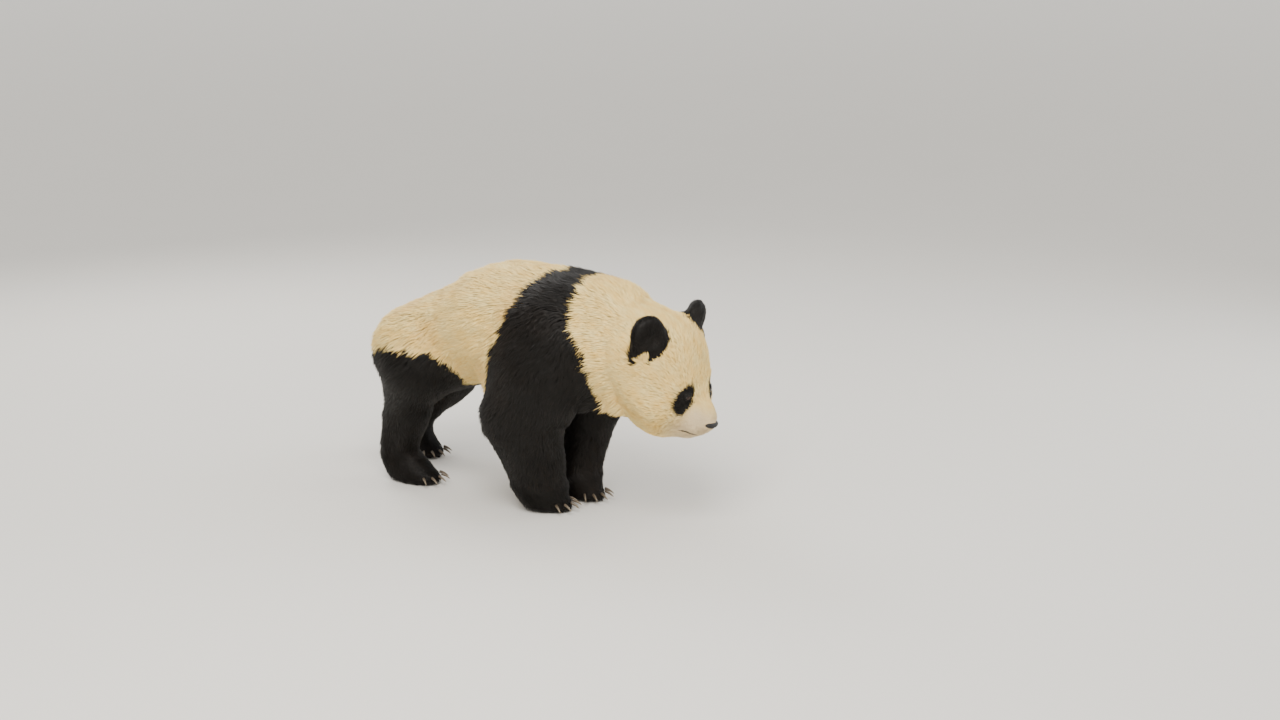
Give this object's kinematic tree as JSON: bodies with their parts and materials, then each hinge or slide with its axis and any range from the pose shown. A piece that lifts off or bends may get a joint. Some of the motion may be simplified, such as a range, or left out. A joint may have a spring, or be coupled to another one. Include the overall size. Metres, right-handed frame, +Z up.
{
  "type": "giant panda",
  "caption": "Life-size giant panda in mid-step with its head lowered: cream coat with black ears, eye patches, shoulder band and legs.",
  "frame": {"origin": "the middle of the animal's outline seen from above, on the floor that its four paws stand on", "axes": "+X to the animal's left, -Y the way it faces, +Z up"},
  "size_m": [0.552, 1.348, 0.7156],
  "materials": {
    "white_coat": "dense matt fur, cream yellow",
    "black_coat": "dense matt fur, brownish black",
    "nose_leather": "moist, finely pebbled skin",
    "eyeball": "wet and glossy",
    "claw_horn": "worn dark horn"
  },
  "bodies": {
    "root": {"barrel": "white_coat", "ear_left": "black_coat", "ear_right": "black_coat", "eye_left": "eyeball", "eye_right": "eyeball", "forearm_left": "black_coat", "forearm_right": "black_coat", "forepaw_left": "black_coat", "forepaw_left_claw_1": "claw_horn", "forepaw_left_claw_2": "claw_horn", "forepaw_left_claw_3": "claw_horn", "forepaw_left_claw_4": "claw_horn", "forepaw_left_claw_5": "claw_horn", "forepaw_right": "black_coat", "forepaw_right_claw_1": "claw_horn", "forepaw_right_claw_2": "claw_horn", "forepaw_right_claw_3": "claw_horn", "forepaw_right_claw_4": "claw_horn", "forepaw_right_claw_5": "claw_horn", "head": "white_coat", "hindpaw_left": "black_coat", "hindpaw_left_claw_1": "claw_horn", "hindpaw_left_claw_2": "claw_horn", "hindpaw_left_claw_3": "claw_horn", "hindpaw_left_claw_4": "claw_horn", "hindpaw_left_claw_5": "claw_horn", "hindpaw_right": "black_coat", "hindpaw_right_claw_1": "claw_horn", "hindpaw_right_claw_2": "claw_horn", "hindpaw_right_claw_3": "claw_horn", "hindpaw_right_claw_4": "claw_horn", "hindpaw_right_claw_5": "claw_horn", "lower_jaw": "white_coat", "muzzle": "white_coat", "neck": "white_coat", "nose": "nose_leather", "rump": "white_coat", "shank_left": "black_coat", "shank_right": "black_coat", "shoulders": "black_coat", "tail": "white_coat", "thigh_left": "black_coat", "thigh_right": "black_coat", "upper_foreleg_left": "black_coat", "upper_foreleg_right": "black_coat"}
  },
  "joints": []
}
